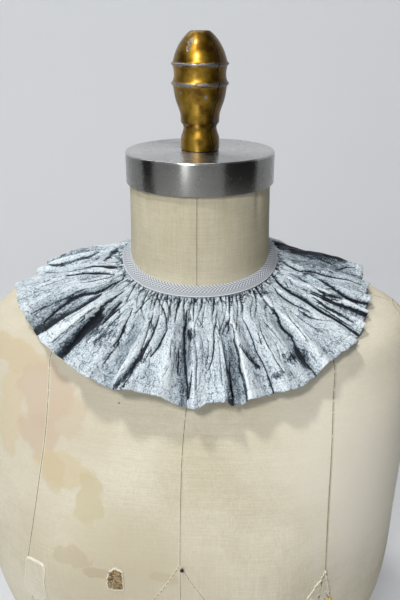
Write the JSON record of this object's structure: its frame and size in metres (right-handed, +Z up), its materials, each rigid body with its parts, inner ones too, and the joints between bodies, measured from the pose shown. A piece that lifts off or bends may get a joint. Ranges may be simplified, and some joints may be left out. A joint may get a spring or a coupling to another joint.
{
  "type": "gathered ruffle collar on a limbless dress form",
  "caption": "Gathered cloth ruffle on a folded twill neck tape, worn round the neck of a canvas dress form with a steel neck cap and a turned finial.",
  "frame": {"origin": "middle of the box, at the underside of the form's base board", "axes": "+Z up along the form's neck, -Y the form's front, +X its left side"},
  "size_m": [0.4026, 0.2838, 0.8044],
  "materials": {
    "ruffle_cloth": "crushed silver blue-grey silk with a dull metallic sheen",
    "twill_tape": "lilac-grey cotton twill tape",
    "closure_wire": "nickel-plated wire",
    "canvas": "unbleached linen canvas, stained and worn",
    "plywood": "plain plywood",
    "cap_steel": "brushed round the rim, dull on top",
    "worn_gold": "gold paint over grey metal, chipped at the beads"
  },
  "bodies": {
    "root": {"ruffle": "ruffle_cloth", "neck_tape": "twill_tape", "closure_hook": "closure_wire", "closure_eye": "closure_wire", "form_body": "canvas", "form_base_board": "plywood", "form_cap": "cap_steel", "form_finial": "worn_gold"}
  },
  "joints": []
}
